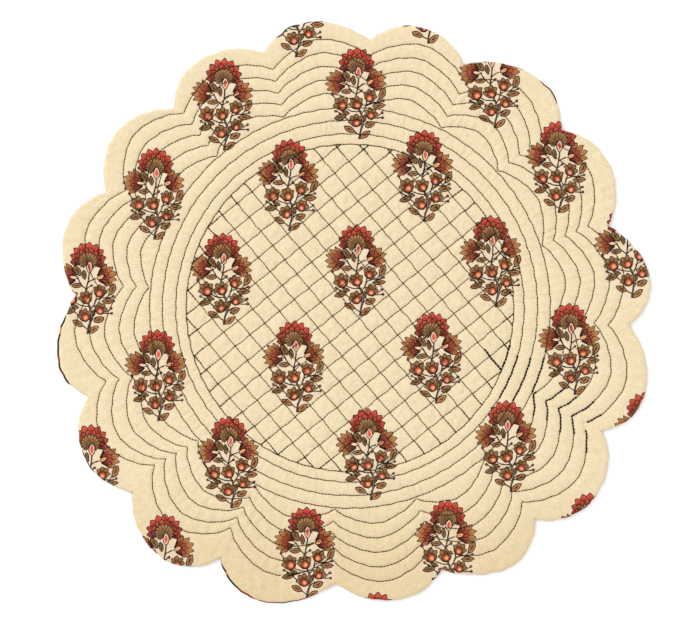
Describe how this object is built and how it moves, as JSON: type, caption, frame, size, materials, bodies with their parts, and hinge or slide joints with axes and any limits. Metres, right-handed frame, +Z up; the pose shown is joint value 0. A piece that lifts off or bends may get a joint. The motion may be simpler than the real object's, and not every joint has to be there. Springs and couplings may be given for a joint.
{
  "type": "round quilted placemat",
  "caption": "Round quilted cotton placemat with a scalloped edge, diamond-hatched middle, sewn rings and echo lines, and a flower-sprig print on cream over a second backing cloth.",
  "frame": {"origin": "middle of the outline's box, on the surface that the mat lies on", "axes": "+Z up from the underside to the printed face, +Y towards the top of the picture, the way the printed flowers stand, +X to its right"},
  "size_m": [0.4335, 0.4245, 0.0043],
  "materials": {
    "printed_cotton": "matt plain-weave cotton, cream ground with a block-printed sprig",
    "backing_cotton": "matt plain-weave cotton, dark madder print",
    "quilting_thread": "dark olive-brown spun thread"
  },
  "bodies": {
    "root": {"printed_top": "printed_cotton", "backing": "backing_cotton"}
  },
  "joints": []
}
